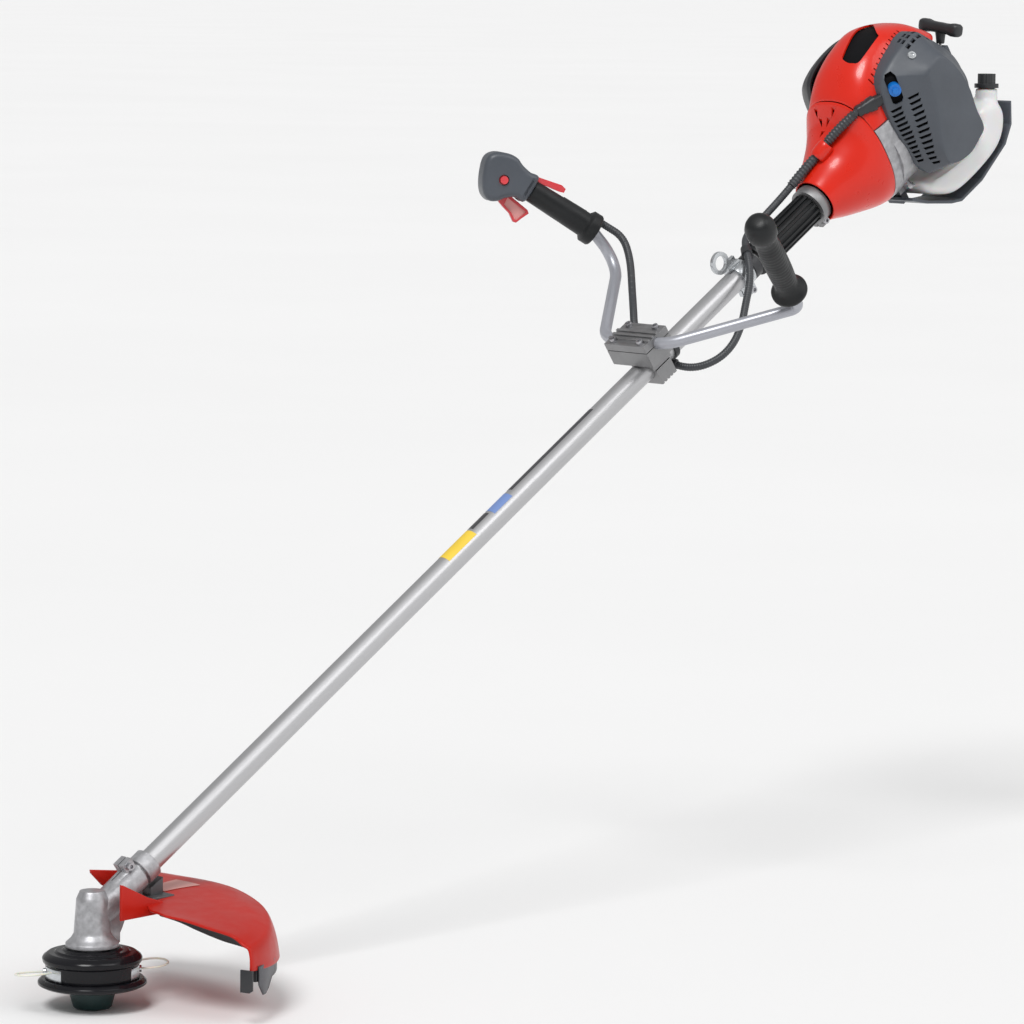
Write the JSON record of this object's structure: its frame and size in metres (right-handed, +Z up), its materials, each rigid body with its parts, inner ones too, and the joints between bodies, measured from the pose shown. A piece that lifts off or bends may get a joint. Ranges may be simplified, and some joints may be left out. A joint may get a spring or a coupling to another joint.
{
  "type": "brush cutter",
  "caption": "Straight-shaft petrol brush cutter with a tap-feed line head, deflector guard, bull-horn handlebar and a covered two-stroke engine.",
  "frame": {"origin": "middle of the tap knob's flat ground face, under the head", "axes": "+Z up along the line head's axis, +X towards the engine in the plane of the drive tube, -Y towards the plain handle grip"},
  "size_m": [1.595, 0.5304, 1.1332],
  "materials": {
    "tube_silver": "satin anodised",
    "cast_alloy": "cast, bead blasted",
    "steel": "machined",
    "zinc": "bright zinc plate",
    "black_plastic": "fine texture",
    "head_black": "satin",
    "grey_plastic": "fine texture",
    "orange_red": "gloss",
    "guard_red": "semi gloss",
    "tank_white": "translucent",
    "knob_green": "satin",
    "blue_plastic": "gloss",
    "red_trim": "gloss",
    "rubber_black": "matt",
    "nylon_white": "extruded",
    "rope_white": "braided",
    "bronze": "sintered",
    "filter_foam": "felt"
  },
  "bodies": {
    "machine": {"gearcase": "cast_alloy", "ball_bearings": "steel", "guard_shell": "guard_red", "guard_skirt": "black_plastic", "guard_bracket": "cast_alloy", "line_knife": "steel", "drive_tube": "tube_silver", "tube_bushes": "bronze", "harness_clamp": "zinc", "harness_ring": "zinc", "handlebar": "tube_silver", "handlebar_base": "cast_alloy", "handlebar_cap": "cast_alloy", "handlebar_tube_clamp": "cast_alloy", "left_grip": "rubber_black", "throttle_grip": "rubber_black", "throttle_shell_front": "grey_plastic", "throttle_shell_rear": "grey_plastic", "throttle_cable": "black_plastic", "cable_clips": "black_plastic", "vibration_damper": "rubber_black", "damper_collar": "cast_alloy", "clutch_housing": "orange_red", "crankcase": "cast_alloy", "cylinder": "cast_alloy", "spark_plug": "steel", "ignition_coil": "black_plastic", "carburettor": "cast_alloy", "air_filter": "filter_foam", "muffler": "steel", "engine_shroud": "orange_red", "vent_grille": "black_plastic", "filter_cover": "grey_plastic", "muffler_cover": "grey_plastic", "starter_housing": "grey_plastic", "fuel_tank": "tank_white", "tank_guard": "grey_plastic", "socket_screws": "steel"},
    "head": {"output_shaft": "steel", "head_housing": "head_black", "head_cover": "head_black", "line_eyelets": "zinc", "nylon_line": "nylon_white"},
    "tap_knob": {"bump_knob": "knob_green", "line_spool": "head_black"},
    "drive": {"drive_shaft": "steel", "clutch_drum": "steel"},
    "crank": {"crankshaft": "steel", "flywheel": "cast_alloy", "clutch_shoes": "steel"},
    "piston": {"piston": "cast_alloy"},
    "con_rod": {"connecting_rod": "steel"},
    "trigger": {"throttle_trigger": "red_trim"},
    "lockout": {"throttle_lockout": "red_trim"},
    "stop_button": {"stop_switch": "red_trim"},
    "choke": {"choke_knob": "blue_plastic"},
    "cap": {"fuel_cap": "black_plastic"},
    "pull_handle": {"starter_handle": "black_plastic", "starter_rope": "rope_white"},
    "reel": {"starter_reel": "black_plastic"}
  },
  "joints": [
    {"name": "head_spin", "type": "hinge", "parent": "machine", "child": "head", "pos_m": [0, 0, 0.1045], "axis": [0, 0, 1], "continuous": true},
    {"name": "knob_tap", "type": "slide", "parent": "head", "child": "tap_knob", "axis": [0, 0, 1], "range_m": [0, 0.006], "stiffness_N_per_m": 1200, "springref_m": -0.004},
    {"name": "drive_spin", "type": "hinge", "parent": "machine", "child": "drive", "pos_m": [0, 0, 0.1045], "axis": [0.829, 0, 0.5592], "continuous": true},
    {"name": "crank_spin", "type": "hinge", "parent": "machine", "child": "crank", "pos_m": [1.31983, 0, 0.99474], "axis": [0.829, 0, 0.5592], "continuous": true},
    {"name": "piston_stroke", "type": "slide", "parent": "machine", "child": "piston", "axis": [-0.5592, 0, 0.829], "range_m": [-0.03, 0]},
    {"name": "rod_swing", "type": "hinge", "parent": "piston", "child": "con_rod", "pos_m": [1.28348, 0, 1.04862], "axis": [0.829, 0, 0.5592], "range_deg": [-17.4, 17.4]},
    {"name": "throttle_pull", "type": "hinge", "parent": "machine", "child": "trigger", "pos_m": [0.84981, 0.23434, 0.90893], "axis": [-0.5134, -0.8582, 0], "range_deg": [0, 14], "stiffness_Nm_per_rad": 0.6, "springref_deg": -17.19},
    {"name": "lockout_press", "type": "hinge", "parent": "machine", "child": "lockout", "pos_m": [0.87838, 0.21726, 0.92653], "axis": [0.5134, 0.8582, 0], "range_deg": [0, 9], "stiffness_Nm_per_rad": 0.4, "springref_deg": -17.19},
    {"name": "stop_press", "type": "slide", "parent": "machine", "child": "stop_button", "axis": [0.5134, 0.8582, 0], "range_m": [0, 0.002], "stiffness_N_per_m": 500, "springref_m": -0.002},
    {"name": "choke_turn", "type": "hinge", "parent": "machine", "child": "choke", "pos_m": [1.24116, -0.07497, 1.0442], "axis": [-0.5783, -0.7701, -0.2694], "range_deg": [0, 75]},
    {"name": "cap_turn", "type": "hinge", "parent": "machine", "child": "cap", "pos_m": [1.46533, -0.032, 1.04101], "axis": [0, 0, 1], "range_deg": [0, 540]},
    {"name": "starter_pull", "type": "slide", "parent": "machine", "child": "pull_handle", "axis": [0, 0, 1], "range_m": [0, 0.6], "stiffness_N_per_m": 12, "springref_m": -0.5},
    {"name": "reel_spin", "type": "hinge", "parent": "machine", "child": "reel", "pos_m": [1.37952, 0, 1.035], "axis": [0.829, 0, 0.5592], "range_deg": [-1230, 0]}
  ],
  "couplings": [
    {"joint": "drive_spin", "follows": "head_spin", "ratio": -1.4},
    {"joint": "reel_spin", "follows": "starter_pull", "rad_per_m": -35.714}
  ]
}
